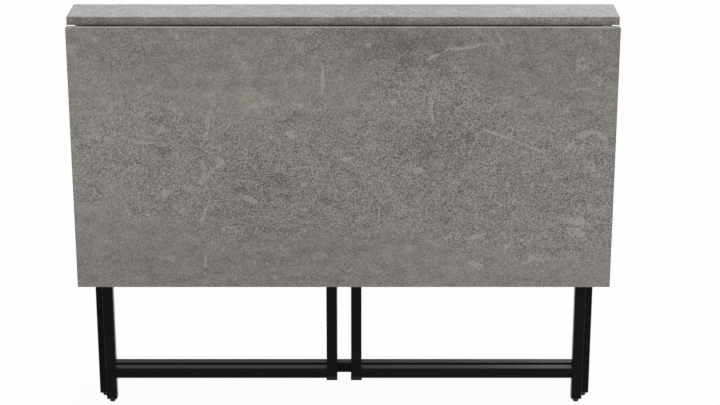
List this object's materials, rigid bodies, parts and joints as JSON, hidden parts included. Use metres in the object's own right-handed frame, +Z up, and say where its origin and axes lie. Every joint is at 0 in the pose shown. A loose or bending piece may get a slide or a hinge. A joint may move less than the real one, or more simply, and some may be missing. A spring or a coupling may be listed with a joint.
{
  "type": "extending table",
  "caption": "Folding drop-leaf gateleg table: narrow concrete-effect strip, two hanging leaves and a black square-tube frame with swinging gates, shown folded.",
  "frame": {"origin": "on the floor, under the middle of the strip", "axes": "+X along the table to the right as seen in the picture, +Y away from the front leaf, +Z up"},
  "size_m": [1, 0.1394, 0.768],
  "materials": {
    "concrete_board": "chipboard faced with matt concrete-effect melamine",
    "board_edging": "matt concrete-effect plastic edging",
    "black_steel": "satin black powder coat on steel tube",
    "black_plastic": "moulded black plastic",
    "zinc_steel": "zinc-plated steel",
    "black_hinge_steel": "black-plated hinge steel"
  },
  "bodies": {
    "frame": {"top_strip": "concrete_board", "top_strip_edging": "board_edging", "front_hinge_strip_plates": "black_hinge_steel", "front_hinge_pins": "black_hinge_steel", "front_hinge_strip_screws": "black_hinge_steel", "rear_hinge_strip_plates": "black_hinge_steel", "rear_hinge_pins": "black_hinge_steel", "rear_hinge_strip_screws": "black_hinge_steel", "frame_leg_left": "black_steel", "frame_leg_right": "black_steel", "frame_top_rail": "black_steel", "frame_bottom_rail": "black_steel", "frame_leg_plugs": "black_plastic", "frame_feet": "black_plastic", "top_screws": "zinc_steel", "upper_pivot_lugs": "black_steel", "lower_pivot_plates": "black_steel", "upper_pivot_pins": "zinc_steel", "lower_pivot_pins": "zinc_steel"},
    "front_leaf": {"front_leaf": "concrete_board", "front_leaf_edging": "board_edging", "front_hinge_leaf_plates": "black_hinge_steel", "front_hinge_leaf_screws": "black_hinge_steel"},
    "rear_leaf": {"rear_leaf": "concrete_board", "rear_leaf_edging": "board_edging", "rear_hinge_leaf_plates": "black_hinge_steel", "rear_hinge_leaf_screws": "black_hinge_steel"},
    "front_left_gate": {"front_left_gate_leg": "black_steel", "front_left_gate_post": "black_steel", "front_left_gate_top_rail": "black_steel", "front_left_gate_bottom_rail": "black_steel", "front_left_gate_bushes": "black_plastic", "front_left_gate_plugs": "black_plastic", "front_left_gate_pad": "black_plastic", "front_left_gate_foot": "black_plastic"},
    "front_right_gate": {"front_right_gate_leg": "black_steel", "front_right_gate_post": "black_steel", "front_right_gate_top_rail": "black_steel", "front_right_gate_bottom_rail": "black_steel", "front_right_gate_bushes": "black_plastic", "front_right_gate_plugs": "black_plastic", "front_right_gate_pad": "black_plastic", "front_right_gate_foot": "black_plastic"},
    "rear_left_gate": {"rear_left_gate_leg": "black_steel", "rear_left_gate_post": "black_steel", "rear_left_gate_top_rail": "black_steel", "rear_left_gate_bottom_rail": "black_steel", "rear_left_gate_bushes": "black_plastic", "rear_left_gate_plugs": "black_plastic", "rear_left_gate_pad": "black_plastic", "rear_left_gate_foot": "black_plastic"},
    "rear_right_gate": {"rear_right_gate_leg": "black_steel", "rear_right_gate_post": "black_steel", "rear_right_gate_top_rail": "black_steel", "rear_right_gate_bottom_rail": "black_steel", "rear_right_gate_bushes": "black_plastic", "rear_right_gate_plugs": "black_plastic", "rear_right_gate_pad": "black_plastic", "rear_right_gate_foot": "black_plastic"}
  },
  "joints": [
    {"name": "front_leaf_fold", "type": "hinge", "parent": "frame", "child": "front_leaf", "pos_m": [0, -0.0525, 0.7508], "axis": [-1, 0, 0], "range_deg": [0, 90]},
    {"name": "rear_leaf_fold", "type": "hinge", "parent": "frame", "child": "rear_leaf", "pos_m": [0, 0.0525, 0.7508], "axis": [1, 0, 0], "range_deg": [0, 90]},
    {"name": "front_left_gate_swing", "type": "hinge", "parent": "frame", "child": "front_left_gate", "pos_m": [-0.0235, -0.029, 0.4], "axis": [0, 0, 1], "range_deg": [0, 1.9]},
    {"name": "front_right_gate_swing", "type": "hinge", "parent": "frame", "child": "front_right_gate", "pos_m": [0.0235, -0.029, 0.4], "axis": [0, 0, -1], "range_deg": [0, 1.9]},
    {"name": "rear_left_gate_swing", "type": "hinge", "parent": "frame", "child": "rear_left_gate", "pos_m": [-0.0235, 0.029, 0.4], "axis": [0, 0, -1], "range_deg": [0, 1.9]},
    {"name": "rear_right_gate_swing", "type": "hinge", "parent": "frame", "child": "rear_right_gate", "pos_m": [0.0235, 0.029, 0.4], "axis": [0, 0, 1], "range_deg": [0, 1.9]}
  ]
}
